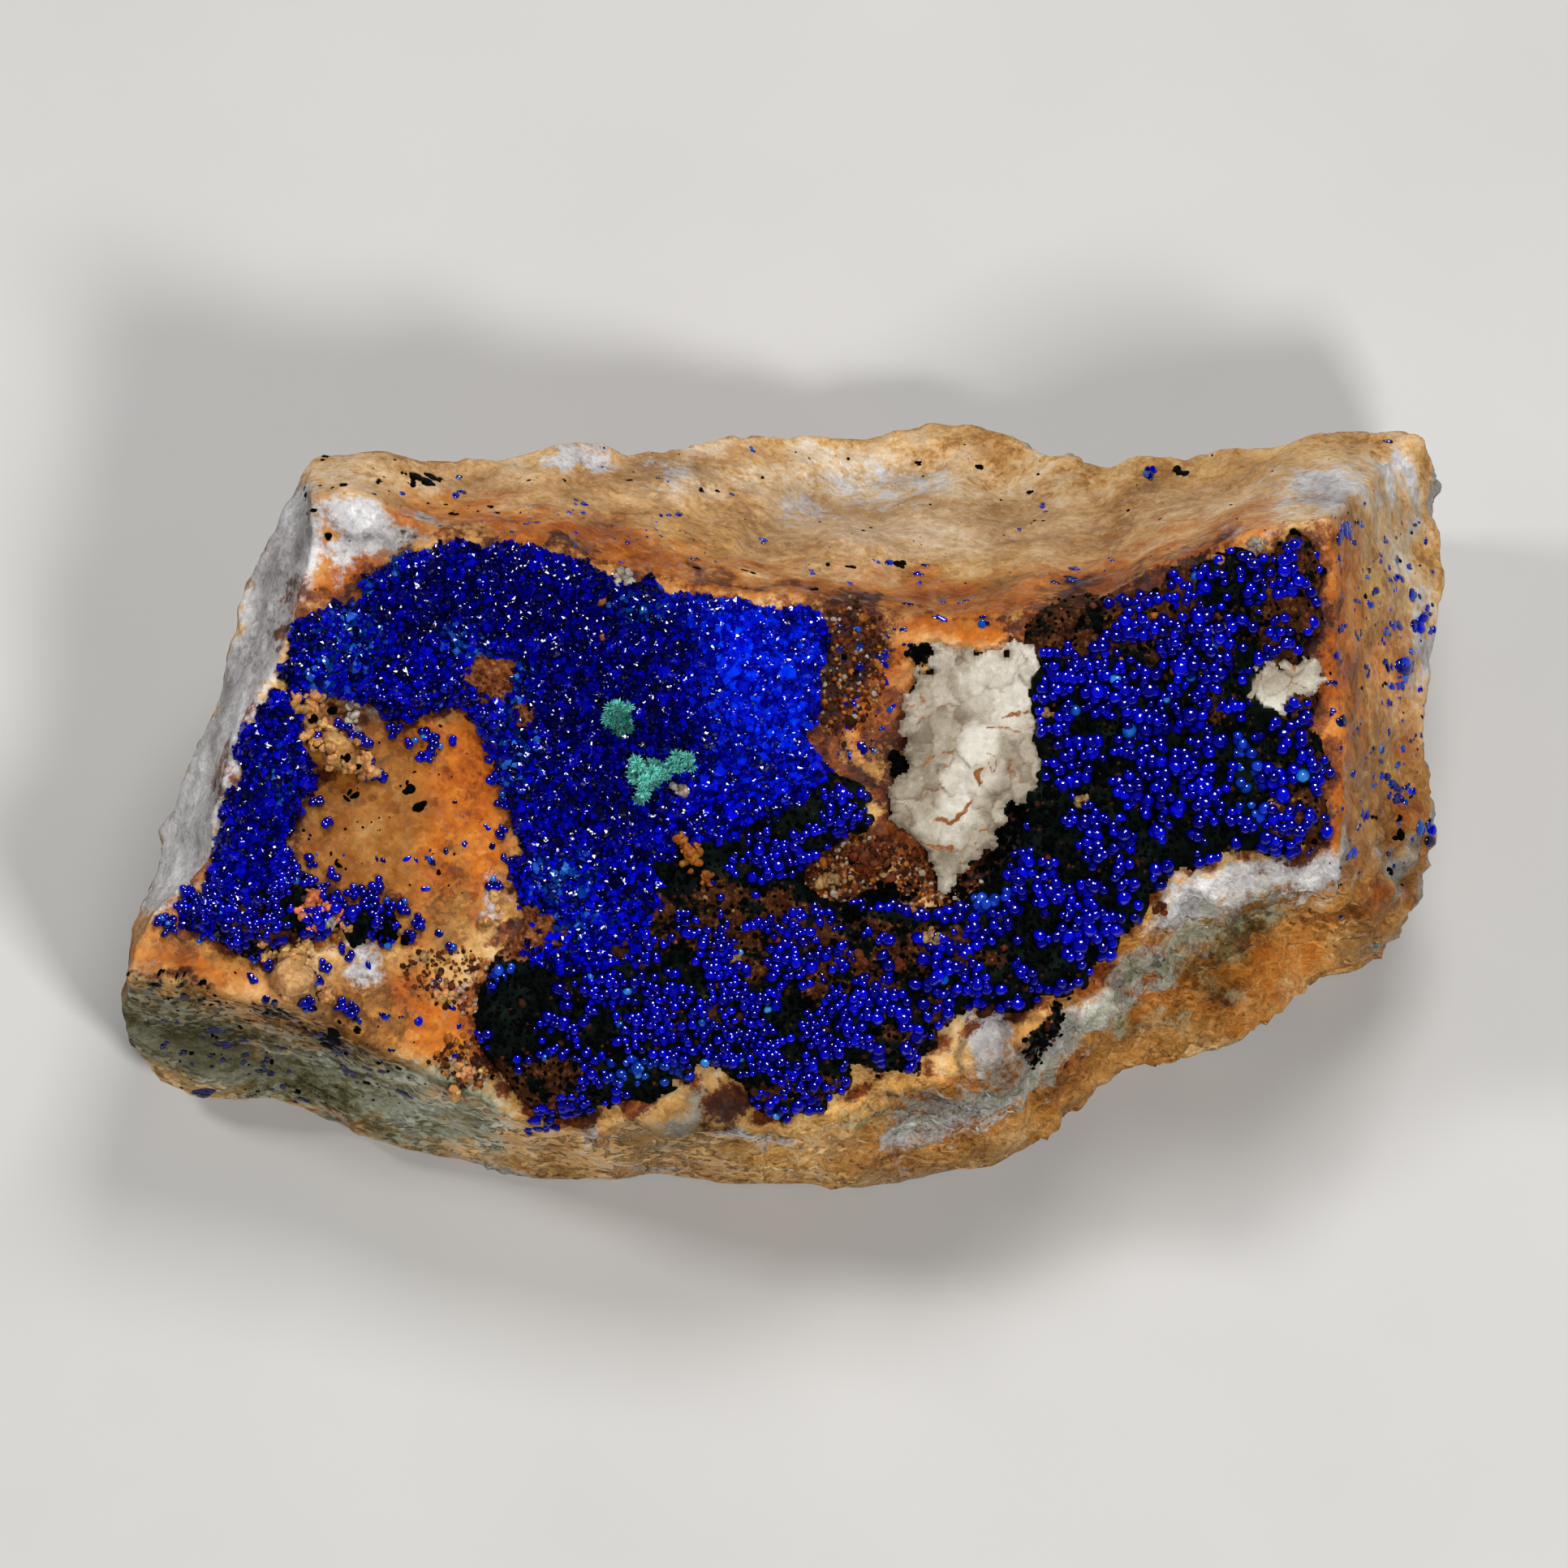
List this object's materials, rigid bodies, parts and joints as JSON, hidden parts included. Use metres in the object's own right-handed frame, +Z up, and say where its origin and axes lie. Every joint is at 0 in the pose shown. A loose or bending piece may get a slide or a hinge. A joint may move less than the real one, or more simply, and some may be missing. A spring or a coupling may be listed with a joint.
{
  "type": "azurite and malachite specimen",
  "caption": "Loose block of vein quartz stained by limonite, with a blue azurite crust, green malachite tufts and clusters of bare quartz on its upper face.",
  "frame": {"origin": "on the table, under the middle of the specimen's bounding box", "axes": "+Z up from the flat broken underside; +X along the length; the azurite face leans 22 degrees towards -Y"},
  "size_m": [0.0598, 0.0374, 0.0223],
  "materials": {
    "matrix": "broken quartz vein stained tan and orange by limonite, with grey-white bands, satin to dull",
    "azurite": "deep blue crust of tiny sparkling crystals and round grains, vitreous",
    "quartz": "milky translucent grains with rust in their seams, glossy where broken",
    "malachite": "silky green fibres with paler tips"
  },
  "bodies": {
    "root": {"matrix_rock": "matrix", "azurite_crust": "azurite", "quartz_cluster_centre": "quartz", "quartz_cluster_right": "quartz", "malachite_tuft_upper": "malachite", "malachite_tuft_lower": "malachite"}
  },
  "joints": []
}
